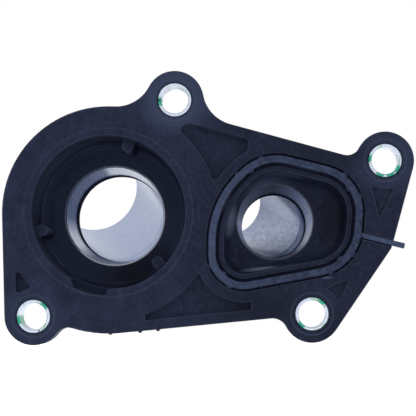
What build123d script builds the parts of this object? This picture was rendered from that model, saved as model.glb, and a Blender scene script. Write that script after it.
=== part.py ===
from build123d import *
import math
import os

# Coolant flange of an engine: a moulded plastic body with a round thermostat pocket, a shaped port
# with its own rubber seal, two hose stubs behind them and four rolled steel sleeves for the bolts.
#
# Frame, in millimetres: the mating face stands upright in the plane Y = 0 and looks along -Y.
# X runs right and Z up as seen from in front of that face. Depth is measured along +Y, into the part.
# The origin is the centre of the thermostat pocket, on the mating face.

# Plate
PLATE_THICKNESS = 10.0
FRONT_EDGE_ROUND = 0.4
BACK_EDGE_ROUND = 1.0
EAR_RADIUS = 9.5
POCKET_RIM_RADIUS = 34.9
LOWER_RIM_RADIUS = POCKET_RIM_RADIUS + 4.9
TOP_EDGE_BELOW_LEFT_BOLT = 3.0
TOP_EDGE_BELOW_RIGHT_BOLT = 1.8
LOWER_EDGE_BELOW_BOLT = 0.2
SHOULDER_CENTRE = (90.3, -10.3)
SHOULDER_RADIUS = 3.0

# Places on the mating face: the pocket's centre, the bolts, and the bearing of each sleeve's slit.
# The two bolts beside the pocket stand a distance past its rim, each at a bearing from its centre.
POCKET = (0.0, 0.0)
UPPER_BOLT_PAST_RIM = 8.04
UPPER_BOLT_BEARING = 59.5
LOWER_BOLT_PAST_RIM = 7.15
LOWER_BOLT_BEARING = 234.2


def polar(centre, radius, bearing):
    """Point at a distance and bearing from a centre, in the mating face."""
    angle = math.radians(bearing)
    return (centre[0] + radius * math.cos(angle), centre[1] + radius * math.sin(angle))


BOLTS = {
    "upper_left": polar(POCKET, POCKET_RIM_RADIUS + UPPER_BOLT_PAST_RIM, UPPER_BOLT_BEARING),
    "upper_right": (90.9, 17.1),
    "lower_right": (66.9, -33.3),
    "lower_left": polar(POCKET, POCKET_RIM_RADIUS + LOWER_BOLT_PAST_RIM, LOWER_BOLT_BEARING),
}
SLIT_BEARINGS = {
    "upper_left": 182.0,
    "upper_right": 186.0,
    "lower_right": 35.0,
    "lower_left": -68.0,
}

# Hollow corners of the outline: the ear, the bearing of the corner from the bolt, and its radius
HOLLOW_CORNERS = [
    ("upper_left", 211.0, 12.2),
    ("upper_left", -33.0, 12.2),
    ("upper_right", 176.0, 4.5),
    ("lower_right", 186.0, 5.0),
    ("lower_left", -16.0, 4.6),
]

# Rolled compression sleeves
SLEEVE_RADIUS = 5.5
SLEEVE_WALL = 1.0
SLEEVE_LENGTH = PLATE_THICKNESS
SLEEVE_EDGE_CHAMFER = 0.25
SLIT_WIDTH = 0.55
SLEEVE_RELIEF_WIDTH = 0.35
SLEEVE_RELIEF_DEPTH = 1.2
SLEEVE_LANDING_RADIUS = 6.8

# Thermostat pocket and its straight bore
POCKET_RADIUS = 25.2
POCKET_SEAT_DEPTH = 4.0
POCKET_DEPTH = 26.0
POCKET_DRAFT = 0.6
POCKET_COVE = 2.0
POCKET_EDGE_CHAMFER = 0.3
POCKET_LANDING_RADIUS = POCKET_RADIUS + 2.4
LANDING_DEPTH = 0.25
POCKET_SHELF_WIDTH = 8.5
MAIN_BORE_MOUTH_RADIUS = POCKET_RADIUS - POCKET_SHELF_WIDTH
MAIN_BORE_END_RADIUS = MAIN_BORE_MOUTH_RADIUS - 1.2
MAIN_BORE_MOUTH_CHAMFER = 0.4
BEND_DEPTH = 50.0
HOUSING_WALL = 3.0
DRUM_EDGE_ROUND = 4.0
HOUSING_START = 1.0

# Three lugs that the thermostat rests on
LUG_BEARING = 74.6
LUG_COUNT = 3
LUG_NOSE_RADIUS = 1.9
LUG_REACH = 4.2

# Notch in the pocket wall
NOTCH_RADIUS = POCKET_RADIUS + 2.2
NOTCH_FROM = -114.5
NOTCH_TO = -92.0
NOTCH_LEFT_SLANT = 8.8
NOTCH_RIGHT_SLANT = 3.0
NOTCH_DEPTH = 18.0

# Shaped port: corners of the line that the seal follows, each with its radius
PORT_CORNERS = [
    (50.6, 19.1, 15.2),
    (83.2, 11.1, 14.3),
    (81.1, -17.3, 15.0),
    (34.1, -26.1, 10.4),
    (34.1, 2.9, 30.4),
]
PORT_DEPTH = 12.0
PORT_DRAFT_ANGLE = 6.0
PORT_FLOOR_ROUND = 4.0
PORT_HOUSING_ROUND = 2.5
LIP_WIDTH = 1.4
LIP_DROP = 1.2
SMALL_BORE_CENTRE = (54.8, -2.6)
SMALL_BORE_MOUTH_RADIUS = 12.7
SMALL_BORE_END_RADIUS = 11.4

# Seal groove and seal
GROOVE_DEPTH = 3.0
SEAL_WIDTH = 2.3
SEAL_GAP_INSIDE = 1.1
SEAL_GAP_OUTSIDE = 0.8
SEAL_PROUD = 0.7
SEAL_EDGE_ROUND = 0.35
BEAD_GROOVE_WIDTH = 0.5
BEAD_GROOVE_DEPTH = 0.55
NUB_RADIUS = 1.5
NUB_REACH = 0.6
NUB_TOP = 0.3
NUB_CENTRE = (58.3, -3.1)
NUB_SEARCH_STEPS = 720
OUTER_NUB_BEARINGS = [111.0, 135.0, 38.5, 19.7, -26.0, -46.5, 210.5, 228.3]
INNER_NUB_BEARINGS = [124.0, 29.0, -36.0, 219.5]

# Tab of the seal, which hangs over the flange's edge
TAB_ROOT = (82.3, -7.2)
TAB_TIP = (97.3, -11.0)
TAB_WIDTH = 1.8
TAB_THICKNESS = 1.8
CHANNEL_DEPTH = 2.0
CHANNEL_GAP = 0.4

# Hose stubs: where the bend's mouth lies off the bore's axis, the lean and the way it leans
STUB_LEAN = 27.0
STUB_WALL = 2.75
STUB_LENGTH = 40.0
MOUTH_LAND = 1.5
BEND_ROOM = 0.15
NECK_INSET = 0.5
BEAD_HEIGHT = 1.6
BEAD_FROM_END = 9.0
BEAD_STEP = 1.2
BEAD_TOP = 1.2
BEAD_SLOPE = 3.8
STUB_END_CHAMFER = 1.0
MAIN_STUB_BORE = MAIN_BORE_END_RADIUS - 0.25
MAIN_STUB_BORE_GAIN = 0.7
MAIN_STUB_HEADING = 135.0
MAIN_MOUTH_SHIFT = (0.35, -0.2)
SMALL_STUB_BORE = SMALL_BORE_END_RADIUS - 0.2
SMALL_STUB_BORE_GAIN = 0.3
SMALL_STUB_HEADING = 147.0
SMALL_MOUTH_SHIFT = (-0.2, -0.2)

# Core-outs in the mating face
CORE_OUT_DEPTH = 2.5
CORNER_CORE_OUT_DEPTH = 2.5
CORE_OUT_DRAFT = 3.0
CORE_OUT_ROUND = 0.6
UPPER_CORE_OUT_ROUND = 1.4
CORNER_CORE_OUT_ROUND = 1.0
CORE_OUT_EDGE_WALL = 3.3
CORNER_EDGE_WALL = 3.9
POCKET_LAND_RADIUS = POCKET_RIM_RADIUS + 0.7
CORNER_LAND_RADIUS = POCKET_RIM_RADIUS + 0.1
LAND_ABOVE_PORT = 4.9
LAND_BELOW_PORT = 5.5
BOLT_LAND_RADIUS = 9.0
UPPER_CORE_OUT_END = 46.0
LOWER_CORE_OUT_START = 12.0
LOWER_CORE_OUT_END = 47.0

# Two small three-cornered core-outs at the right: the bolt beside each, its land, depth and corners
SMALL_CORE_OUTS = [
    ("upper_right", 9.3, 1.2, [(89.0, -2.3), (95.2, 10.6), (85.9, 10.2)]),
    ("lower_right", 9.4, 1.0, [(79.5, -21.6), (69.2, -26.0), (74.0, -33.2)]),
]

# Ribs behind the plate
RIB_THICKNESS = 2.6
GUSSET_COUNT = 4
MAIN_GUSSET = (7.0, 14.0)
SMALL_GUSSET = (4.5, 14.0)

# Three small witness nibs that the mould left on the lower edge
NIB_PLACES = [(0.6, -39.6), (10.4, -39.0), (16.3, -38.4)]
NIB_RADIUS = 0.6
NIB_LENGTH = 4.0

# Room that a cutting block takes past what it cuts, and a length longer than the whole part
OVERLAP = 1.0
FAR = 200.0


def bearing_of(start, end):
    """Bearing from one point of the mating face to another, in degrees."""
    return math.degrees(math.atan2(end[1] - start[1], end[0] - start[0]))


def distance(start, end):
    """Distance between two points of the mating face."""
    return math.hypot(end[0] - start[0], end[1] - start[1])


def slab(shape, front, back, taper=0.0):
    """Straight or drafted block of an outline, between two depths behind the mating face."""
    plane = Plane.XZ.offset(-front)
    return extrude(plane * shape, amount=-(back - front), taper=taper)


def disc(centre, radius):
    """Round face at a place on the mating face."""
    return Pos(*centre) * Circle(radius)


def window(left, right, bottom, top):
    """Rectangle between four edges."""
    centre = Pos((left + right) / 2, (bottom + top) / 2)
    return centre * Rectangle(right - left, top - bottom)


def sector(centre, radius, start, end):
    """Slice of a disc between two bearings."""
    first = polar(centre, radius, start)
    last = polar(centre, radius, end)
    edges = Line(centre, first) + CenterArc(centre, radius, start, end - start) + Line(last, centre)
    return make_face(edges)


def tangent_bearing(centre_a, radius_a, centre_b, radius_b, side):
    """Bearing at which the line that touches two circles meets them, on one side of their centres."""
    spread = math.degrees(math.acos((radius_a - radius_b) / distance(centre_a, centre_b)))
    return bearing_of(centre_a, centre_b) + side * spread


def web(centre_a, radius_a, centre_b, radius_b, side):
    """Face between two centres and the line that touches both circles on one side."""
    bearing = tangent_bearing(centre_a, radius_a, centre_b, radius_b, side)
    first = polar(centre_a, radius_a, bearing)
    last = polar(centre_b, radius_b, bearing)
    return make_face(Polyline(centre_a, first, last, centre_b, close=True))


def lower_edge():
    """The two circles that the plate's straight lower edge touches, and the side it lies on."""
    return (POCKET, LOWER_RIM_RADIUS, BOLTS["lower_right"], LOWER_EDGE_BELOW_BOLT, -1)


def middle_outline():
    """Straight-sided middle of the plate, between the pocket and the three bolts to its right."""
    upper_left = BOLTS["upper_left"]
    upper_right = BOLTS["upper_right"]
    top_left = (upper_left[0], upper_left[1] - TOP_EDGE_BELOW_LEFT_BOLT)
    top_right = (upper_right[0], upper_right[1] - TOP_EDGE_BELOW_RIGHT_BOLT)
    corners = (POCKET, top_left, top_right, SHOULDER_CENTRE, BOLTS["lower_right"])
    return make_face(Polyline(*corners, close=True)) + web(*lower_edge())


def plate_outline():
    """Outline of the plate: rims round the pocket, four ears, straight edges and hollow corners."""
    upper_right = BOLTS["upper_right"]
    lower_right = BOLTS["lower_right"]
    lower_left = BOLTS["lower_left"]

    outline = disc(POCKET, POCKET_RIM_RADIUS) + middle_outline()
    for bolt in BOLTS.values():
        outline += disc(bolt, EAR_RADIUS)
    outline += disc(SHOULDER_CENTRE, SHOULDER_RADIUS)
    outline += web(POCKET, POCKET_RIM_RADIUS, lower_left, EAR_RADIUS, -1)
    lower_tangent = tangent_bearing(*lower_edge())
    outline += sector(POCKET, LOWER_RIM_RADIUS, bearing_of(POCKET, lower_left), lower_tangent)
    outline += web(lower_right, EAR_RADIUS, SHOULDER_CENTRE, SHOULDER_RADIUS, -1)
    outline += web(upper_right, EAR_RADIUS, SHOULDER_CENTRE, SHOULDER_RADIUS, 1)

    for ear, bearing, radius in HOLLOW_CORNERS:
        corner = polar(BOLTS[ear], EAR_RADIUS, bearing)
        vertex = outline.vertices().sort_by_distance((corner[0], corner[1], 0.0))[0]
        outline = fillet(vertex, radius)
    return outline


def port_outline(widening=0.0):
    """Rounded outline of the port, a distance outside or inside the line that the seal follows."""
    corners = [(x, z) for x, z, radius in PORT_CORNERS]
    outline = make_face(Polyline(*corners, close=True))
    for x, z, radius in PORT_CORNERS:
        vertex = outline.vertices().sort_by_distance((x, z, 0.0))[0]
        outline = fillet(vertex, radius)
    if widening:
        outline = offset(outline, amount=widening)
    return outline


def turned(centre, profile, rounds=()):
    """Solid turned about an axis along Y. The profile lists radius and depth pairs."""
    face = make_face(Polyline(*profile, close=True))
    for place, radius in rounds:
        vertex = face.vertices().sort_by_distance((place[0], place[1], 0.0))[0]
        face = fillet(vertex, radius)
    return Pos(centre[0], 0, centre[1]) * revolve(face, Axis.Y)


def stub_frame(centre, shift, heading):
    """Plane at the bend of a hose stub, with its normal along the stub."""
    lean = math.radians(STUB_LEAN)
    turn = math.radians(heading)
    direction = (
        math.sin(lean) * math.cos(turn),
        math.cos(lean),
        math.sin(lean) * math.sin(turn),
    )
    pivot = (centre[0] + shift[0], BEND_DEPTH + MOUTH_LAND, centre[1] + shift[1])
    return Plane(origin=pivot, z_dir=direction)


def stub_outside(plane, radius):
    """Outside of a hose stub: a ball at the bend, a tube and the bead that holds the hose."""
    bead_start = STUB_LENGTH - BEAD_FROM_END
    bead_top = bead_start + BEAD_STEP
    profile = [
        (0.0, 0.0),
        (radius, 0.0),
        (radius, bead_start),
        (radius + BEAD_HEIGHT, bead_top),
        (radius + BEAD_HEIGHT, bead_top + BEAD_TOP),
        (radius, bead_top + BEAD_TOP + BEAD_SLOPE),
        (radius, STUB_LENGTH - STUB_END_CHAMFER),
        (radius - STUB_END_CHAMFER, STUB_LENGTH),
        (0.0, STUB_LENGTH),
    ]
    half = Plane.XZ * make_face(Polyline(*profile, close=True))
    tube = revolve(half, Axis.Z)
    return plane.location * (tube + Sphere(radius))


def stub_bore(plane, radius, gain):
    """Hollow of a hose stub: a roomy ball at the bend and a bore that widens towards its end."""
    length = STUB_LENGTH + OVERLAP
    core = Cone(radius, radius + gain, length, align=(Align.CENTER, Align.CENTER, Align.MIN))
    hollow = plane.location * (core + Sphere(radius + BEND_ROOM))
    behind = Pos(0, BEND_DEPTH + MOUTH_LAND, 0) * Box(
        2 * FAR, FAR, 2 * FAR, align=(Align.CENTER, Align.MIN, Align.CENTER)
    )
    return hollow & behind


def pocket_hollow():
    """Thermostat pocket with its seat, drafted wall, coved floor and the straight bore behind it."""
    wall_end = POCKET_RADIUS - POCKET_DRAFT
    profile = [
        (0.0, -OVERLAP),
        (POCKET_RADIUS + POCKET_EDGE_CHAMFER, -OVERLAP),
        (POCKET_RADIUS + POCKET_EDGE_CHAMFER, LANDING_DEPTH),
        (POCKET_RADIUS, LANDING_DEPTH + POCKET_EDGE_CHAMFER),
        (POCKET_RADIUS, POCKET_SEAT_DEPTH),
        (wall_end, POCKET_DEPTH),
        (MAIN_BORE_MOUTH_RADIUS + MAIN_BORE_MOUTH_CHAMFER, POCKET_DEPTH),
        (MAIN_BORE_MOUTH_RADIUS, POCKET_DEPTH + MAIN_BORE_MOUTH_CHAMFER),
        (MAIN_BORE_END_RADIUS, BEND_DEPTH),
        (0.0, BEND_DEPTH),
    ]
    return turned(POCKET, profile, [((wall_end, POCKET_DEPTH), POCKET_COVE)])


def notch_outline(growth=0.0):
    """Outline of the notch beside the pocket, with slanted ends, grown by a wall."""
    inner = POCKET_RADIUS - OVERLAP
    outer = NOTCH_RADIUS + growth
    spread = math.degrees(growth / outer)
    start = NOTCH_FROM - spread
    end = NOTCH_TO + spread
    left = polar(POCKET, inner, start - NOTCH_LEFT_SLANT)
    right = polar(POCKET, inner, end + NOTCH_RIGHT_SLANT)
    edges = CenterArc(POCKET, outer, start, end - start)
    edges += Line(polar(POCKET, outer, end), right)
    edges += Line(right, left)
    edges += Line(left, polar(POCKET, outer, start))
    return make_face(edges)


def lugs():
    """Three lugs on the pocket wall, each with a flat top and a round nose, down to the floor."""
    nose_centre = POCKET_RADIUS - LUG_REACH + LUG_NOSE_RADIUS
    root = POCKET_RADIUS + HOUSING_WALL / 2
    floor = POCKET_DEPTH + HOUSING_WALL / 2
    plan = disc((nose_centre, 0.0), LUG_NOSE_RADIUS)
    plan += window(nose_centre, root, -LUG_NOSE_RADIUS, LUG_NOSE_RADIUS)
    lug = slab(plan, POCKET_SEAT_DEPTH, floor)
    group = Part()
    for index in range(LUG_COUNT):
        group += Rot(0, -(LUG_BEARING + index * 360.0 / LUG_COUNT), 0) * lug
    return group


def gussets(centre, radius, depth, size, first):
    """Triangular ribs round a neck, from the back of its housing."""
    reach, rise = size
    side = make_face(
        Polyline(
            (radius - HOUSING_WALL / 2, depth - HOUSING_WALL / 2),
            (radius + reach, depth - HOUSING_WALL / 2),
            (radius + reach, depth),
            (radius - HOUSING_WALL / 2, depth + rise),
            close=True,
        )
    )
    rib = extrude(side, amount=RIB_THICKNESS / 2, both=True)
    group = Part()
    for index in range(GUSSET_COUNT):
        turn = first + index * 360.0 / GUSSET_COUNT
        group += Pos(centre[0], 0, centre[1]) * (Rot(0, -turn, 0) * rib)
    return group


def pocket_housing():
    """Drum behind the plate round the pocket, with the neck that leads to the main stub."""
    drum = POCKET_RADIUS + HOUSING_WALL
    back = POCKET_DEPTH + HOUSING_WALL
    neck = MAIN_BORE_MOUTH_RADIUS + HOUSING_WALL
    end = MAIN_STUB_BORE + STUB_WALL - NECK_INSET
    profile = [
        (0.0, HOUSING_START),
        (drum, HOUSING_START),
        (drum, back),
        (neck, back),
        (end, BEND_DEPTH + MOUTH_LAND),
        (0.0, BEND_DEPTH + MOUTH_LAND),
    ]
    rounds = [((drum, back), DRUM_EDGE_ROUND), ((neck, back), HOUSING_WALL)]
    housing = turned(POCKET, profile, rounds)
    housing += slab(notch_outline(HOUSING_WALL), HOUSING_START, NOTCH_DEPTH + HOUSING_WALL)
    housing += gussets(POCKET, neck, back, MAIN_GUSSET, MAIN_STUB_HEADING)
    return housing


def port_housing():
    """Shaped housing behind the plate round the port, with the neck of the small stub."""
    back = PORT_DEPTH + HOUSING_WALL
    shape = port_outline(HOUSING_WALL - SEAL_WIDTH / 2 - SEAL_GAP_INSIDE - LIP_WIDTH)
    housing = slab(shape, HOUSING_START, back)
    housing = fillet(housing.faces().sort_by(Axis.Y)[-1].edges(), PORT_HOUSING_ROUND)
    neck = SMALL_BORE_MOUTH_RADIUS + HOUSING_WALL
    end = SMALL_STUB_BORE + STUB_WALL - NECK_INSET
    profile = [
        (0.0, HOUSING_START),
        (neck, HOUSING_START),
        (neck, back),
        (end, BEND_DEPTH + MOUTH_LAND),
        (0.0, BEND_DEPTH + MOUTH_LAND),
    ]
    housing += turned(SMALL_BORE_CENTRE, profile)
    housing += gussets(SMALL_BORE_CENTRE, neck, back, SMALL_GUSSET, SMALL_STUB_HEADING)
    return housing


def port_hollow():
    """Seal groove, lowered lip, drafted port cavity and the tapered bore behind it."""
    inner_wall = -(SEAL_WIDTH / 2 + SEAL_GAP_INSIDE)
    outer_wall = SEAL_WIDTH / 2 + SEAL_GAP_OUTSIDE
    inside = port_outline(inner_wall)
    cavity_shape = port_outline(inner_wall - LIP_WIDTH)
    hollow = slab(port_outline(outer_wall) - inside, -OVERLAP, GROOVE_DEPTH)
    hollow += slab(inside, -OVERLAP, LIP_DROP)
    cavity = slab(cavity_shape, LIP_DROP / 2, PORT_DEPTH, PORT_DRAFT_ANGLE)
    cavity = fillet(cavity.faces().sort_by(Axis.Y)[-1].edges(), PORT_FLOOR_ROUND)
    hollow += cavity
    profile = [
        (0.0, PORT_DEPTH - PORT_FLOOR_ROUND),
        (SMALL_BORE_MOUTH_RADIUS, PORT_DEPTH - PORT_FLOOR_ROUND),
        (SMALL_BORE_MOUTH_RADIUS, PORT_DEPTH),
        (SMALL_BORE_END_RADIUS, BEND_DEPTH),
        (0.0, BEND_DEPTH),
    ]
    hollow += turned(SMALL_BORE_CENTRE, profile)
    return hollow


def tab_block(width, top, bottom, length, side_shift=0.0):
    """Straight block along the line of the seal's tab, between two depths."""
    bearing = bearing_of(TAB_ROOT, TAB_TIP)
    shape = Pos(*TAB_ROOT) * (Rot(0, 0, bearing) * (Pos(length / 2, side_shift) * Rectangle(length, width)))
    return slab(shape, top, bottom)


def core_out(shape, lands, depth, corner=CORE_OUT_ROUND):
    """Drafted hollow of an outline, less the lands that it leaves standing, with rounded corners."""
    block = slab(shape, 0.0, depth, CORE_OUT_DRAFT)
    for land in lands:
        block -= slab(land, 0.0, depth, -CORE_OUT_DRAFT)
    hollow = block.solids().sort_by(SortBy.VOLUME)[-1]
    sides = [edge for edge in hollow.edges() if edge.bounding_box().size.Y > depth / 2]
    return fillet(sides, corner)


def core_outs():
    """Shallow hollows in the mating face that keep the plate's walls even."""
    middle = offset(middle_outline(), amount=-CORE_OUT_EDGE_WALL)
    inset = offset(plate_outline(), amount=-CORNER_EDGE_WALL)
    above = window(0.0, UPPER_CORE_OUT_END, 0.0, FAR)
    below = window(LOWER_CORE_OUT_START, LOWER_CORE_OUT_END, -FAR, 0.0)
    left_bolt = BOLTS["lower_left"]
    beside = window(-FAR, left_bolt[0] + OVERLAP, left_bolt[1], 0.0)
    bolt_lands = [disc(bolt, BOLT_LAND_RADIUS) for bolt in BOLTS.values()]
    pocket_land = disc(POCKET, POCKET_LAND_RADIUS)
    upper_lands = bolt_lands + [pocket_land, port_outline(LAND_ABOVE_PORT)]
    lower_lands = bolt_lands + [pocket_land, port_outline(LAND_BELOW_PORT)]
    corner_lands = bolt_lands + [disc(POCKET, CORNER_LAND_RADIUS)]

    hollows = core_out(middle & above, upper_lands, CORE_OUT_DEPTH, UPPER_CORE_OUT_ROUND)
    hollows += core_out(middle & below, lower_lands, CORE_OUT_DEPTH)
    hollows += core_out(inset & beside, corner_lands, CORNER_CORE_OUT_DEPTH, CORNER_CORE_OUT_ROUND)
    for bolt, radius, depth, corners in SMALL_CORE_OUTS:
        triangle = make_face(Polyline(*corners, close=True))
        hollows += core_out(triangle, [disc(BOLTS[bolt], radius)], depth)
    return hollows


def landing(centre, radius):
    """Shallow round landing in the mating face, with a sloped step round it."""
    profile = [
        (0.0, -OVERLAP),
        (radius + LANDING_DEPTH + OVERLAP, -OVERLAP),
        (radius, LANDING_DEPTH),
        (0.0, LANDING_DEPTH),
    ]
    return turned(centre, profile)


def flange_body():
    """The moulded body: plate, housings and stubs, less every hollow, with the pocket's lugs."""
    plate = slab(plate_outline(), 0.0, PLATE_THICKNESS)
    plate = fillet(plate.faces().sort_by(Axis.Y)[0].edges(), FRONT_EDGE_ROUND)
    plate = fillet(plate.faces().sort_by(Axis.Y)[-1].edges(), BACK_EDGE_ROUND)

    main_plane = stub_frame(POCKET, MAIN_MOUTH_SHIFT, MAIN_STUB_HEADING)
    small_plane = stub_frame(SMALL_BORE_CENTRE, SMALL_MOUTH_SHIFT, SMALL_STUB_HEADING)
    body = plate + pocket_housing() + port_housing()
    body += stub_outside(main_plane, MAIN_STUB_BORE + STUB_WALL)
    body += stub_outside(small_plane, SMALL_STUB_BORE + STUB_WALL)
    for place in NIB_PLACES:
        body += slab(disc(place, NIB_RADIUS), FRONT_EDGE_ROUND, NIB_LENGTH)

    body -= pocket_hollow()
    body -= slab(notch_outline(), -OVERLAP, NOTCH_DEPTH)
    body -= landing(POCKET, POCKET_LANDING_RADIUS)
    body += lugs()
    body -= port_hollow()
    body -= core_outs()
    for plane, bore, gain in (
        (main_plane, MAIN_STUB_BORE, MAIN_STUB_BORE_GAIN),
        (small_plane, SMALL_STUB_BORE, SMALL_STUB_BORE_GAIN),
    ):
        mouth = (plane.origin.X, plane.origin.Z)
        mouth_end = BEND_DEPTH + MOUTH_LAND + OVERLAP
        body -= slab(disc(mouth, bore), BEND_DEPTH - OVERLAP, mouth_end)
        body -= stub_bore(plane, bore, gain)

    channel = TAB_WIDTH + CHANNEL_GAP
    past_edge = 2 * distance(TAB_ROOT, TAB_TIP)
    body -= tab_block(channel, -OVERLAP, CHANNEL_DEPTH, past_edge, -CHANNEL_GAP / 2)
    for bolt in BOLTS.values():
        hole = slab(disc(bolt, SLEEVE_RADIUS), -OVERLAP, PLATE_THICKNESS + OVERLAP)
        relief_profile = [
            (0.0, 0.0),
            (SLEEVE_RADIUS + SLEEVE_RELIEF_WIDTH, 0.0),
            (SLEEVE_RADIUS, SLEEVE_RELIEF_DEPTH),
            (0.0, SLEEVE_RELIEF_DEPTH),
        ]
        body -= hole + turned(bolt, relief_profile) + landing(bolt, SLEEVE_LANDING_RADIUS)
    return body


def bead_place(bearing):
    """Place and outward bearing on the seal's line, at a bearing from the middle of the port."""
    line = port_outline().wire()
    places = [line @ (step / NUB_SEARCH_STEPS) for step in range(NUB_SEARCH_STEPS)]
    wanted = math.radians(bearing)

    def miss(place):
        """How far a place lies off the wanted bearing."""
        angle = math.atan2(place.Y - NUB_CENTRE[1], place.X - NUB_CENTRE[0])
        return abs(math.remainder(angle - wanted, 2 * math.pi))

    nearest = min(range(NUB_SEARCH_STEPS), key=lambda step: miss(places[step]))
    tangent = line % (nearest / NUB_SEARCH_STEPS)
    outward = Vector(tangent.Y, -tangent.X)
    place = places[nearest]
    centre = Vector(*NUB_CENTRE)
    if outward.dot(Vector(place.X, place.Y) - centre) < 0:
        outward = -outward
    return (place.X, place.Y), math.degrees(math.atan2(outward.Y, outward.X))


def port_seal():
    """Moulded rubber seal: a bead with two ridges, retaining nubs and a tab over the flange's edge."""
    half = SEAL_WIDTH / 2
    ring = slab(port_outline(half) - port_outline(-half), -SEAL_PROUD, GROOVE_DEPTH)
    ring = fillet(ring.faces().sort_by(Axis.Y)[0].edges(), SEAL_EDGE_ROUND)
    split = BEAD_GROOVE_WIDTH / 2
    ring -= slab(
        port_outline(split) - port_outline(-split),
        -SEAL_PROUD - OVERLAP,
        -SEAL_PROUD + BEAD_GROOVE_DEPTH,
    )
    nub_offset = half + NUB_REACH - NUB_RADIUS
    for bearings, side in ((OUTER_NUB_BEARINGS, 1), (INNER_NUB_BEARINGS, -1)):
        for bearing in bearings:
            place, outward = bead_place(bearing)
            nub = disc(polar(place, side * nub_offset, outward), NUB_RADIUS)
            ring += slab(nub, NUB_TOP, GROOVE_DEPTH)
    length = distance(TAB_ROOT, TAB_TIP)
    ring += tab_block(TAB_WIDTH, CHANNEL_DEPTH - TAB_THICKNESS, CHANNEL_DEPTH, length)
    return ring


def bolt_sleeve(bolt, slit_bearing):
    """Rolled steel sleeve with chamfered ends and one slit along its length."""
    inner = SLEEVE_RADIUS - SLEEVE_WALL
    edge = SLEEVE_EDGE_CHAMFER
    profile = [
        (inner, edge),
        (inner + edge, 0.0),
        (SLEEVE_RADIUS - edge, 0.0),
        (SLEEVE_RADIUS, edge),
        (SLEEVE_RADIUS, SLEEVE_LENGTH - edge),
        (SLEEVE_RADIUS - edge, SLEEVE_LENGTH),
        (inner + edge, SLEEVE_LENGTH),
        (inner, SLEEVE_LENGTH - edge),
    ]
    tube = turned((0.0, 0.0), profile)
    slit = Pos(SLEEVE_RADIUS, SLEEVE_LENGTH / 2, 0) * Box(
        2 * SLEEVE_WALL + SLEEVE_RADIUS, SLEEVE_LENGTH + OVERLAP, SLIT_WIDTH
    )
    return Pos(bolt[0], 0, bolt[1]) * (Rot(0, -slit_bearing, 0) * (tube - slit))


def main():
    """Writes one STEP file for each piece."""
    os.makedirs("parts", exist_ok=True)
    pieces = {"flange_body": flange_body(), "port_seal": port_seal()}
    for name, bolt in BOLTS.items():
        pieces["bolt_sleeve_" + name] = bolt_sleeve(bolt, SLIT_BEARINGS[name])
    for node, piece in pieces.items():
        piece.label = node
        export_step(piece, os.path.join("parts", node + ".step"))


main()
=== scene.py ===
# %% [markdown]
# # A moulded coolant flange, dressed in Blender
#
# The real object bolts to the side of an engine. Coolant leaves the engine through a round pocket
# that holds the thermostat and through a shaped port beside it, and two hose stubs lead it away.
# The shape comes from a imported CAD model. This file gives it a rubber seal, real finishes, light
# and a camera. X is to the right, Z up, and Y away from the viewer, with the mating face at Y = 0
# and the middle of the pocket at the origin. Blender works in metres, and so do the studio and the
# camera here. Sizes of the part are written in millimetres.

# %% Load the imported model
import math

import bmesh
import bpy
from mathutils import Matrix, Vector


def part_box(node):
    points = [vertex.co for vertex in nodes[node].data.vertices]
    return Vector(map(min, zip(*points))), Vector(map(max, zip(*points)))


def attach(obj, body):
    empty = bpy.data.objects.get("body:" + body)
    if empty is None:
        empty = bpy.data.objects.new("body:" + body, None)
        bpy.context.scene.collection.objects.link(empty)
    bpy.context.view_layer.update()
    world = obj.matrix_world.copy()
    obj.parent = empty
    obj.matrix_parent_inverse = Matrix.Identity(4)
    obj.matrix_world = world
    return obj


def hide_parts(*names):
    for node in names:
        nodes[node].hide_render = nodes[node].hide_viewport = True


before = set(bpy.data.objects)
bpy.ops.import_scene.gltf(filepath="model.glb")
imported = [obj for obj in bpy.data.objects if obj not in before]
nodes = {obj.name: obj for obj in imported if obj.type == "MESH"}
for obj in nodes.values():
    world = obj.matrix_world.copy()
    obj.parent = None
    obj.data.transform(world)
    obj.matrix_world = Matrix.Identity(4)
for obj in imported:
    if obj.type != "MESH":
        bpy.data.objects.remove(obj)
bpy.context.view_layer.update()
print("pieces of the packed model:", sorted(nodes))

# %% [markdown]
# ## Helpers
#
# Colours are written as they look on a screen, and a shader wants them linear, so one function
# turns them. A material is a small graph: one function adds a node, sets what it has and links
# what feeds it, and it serves every material and the seal's Geometry Nodes.

# %% Colour and node helpers
MM = 0.001
MATH = "ShaderNodeMath"
VECTOR_MATH = "ShaderNodeVectorMath"
NOISE = "ShaderNodeTexNoise"
WHITE = (1.0, 1.0, 1.0, 1.0)


def linear(code):
    """Linear colour of a screen colour such as "#22283a"."""
    colour = []
    for place in (1, 3, 5):
        part = int(code[place:place + 2], 16) / 255.0
        colour.append(part / 12.92 if part <= 0.04045 else ((part + 0.055) / 1.055) ** 2.4)
    return colour + [1.0]


def add(tree, kind, settings=None, **feeds):
    """Adds a node to a tree, with its settings, and with a value or a link for each input.

    An input goes by its name, with underscores for spaces, or by its number, as in _0.
    """
    node = tree.nodes.new(kind)
    for name, value in (settings or {}).items():
        setattr(node, name, value)
    for name, value in feeds.items():
        socket = node.inputs[int(name[1:]) if name[1:].isdigit() else name.replace("_", " ")]
        if isinstance(value, bpy.types.NodeSocket):
            tree.links.new(value, socket)
        else:
            socket.default_value = value
    return node


def fresh_material(name):
    """Material with an empty graph, and that graph."""
    material = bpy.data.materials.new(name)
    material.use_nodes = True
    material.node_tree.nodes.clear()
    return material, material.node_tree


def end_material(tree, **feeds):
    """Ends a material's graph with its main shader and its output."""
    shader = add(tree, "ShaderNodeBsdfPrincipled", **feeds)
    add(tree, "ShaderNodeOutputMaterial", Surface=shader.outputs[0])


print("a dark grey as a shader takes it:", [round(part, 4) for part in linear("#22283a")])

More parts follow.
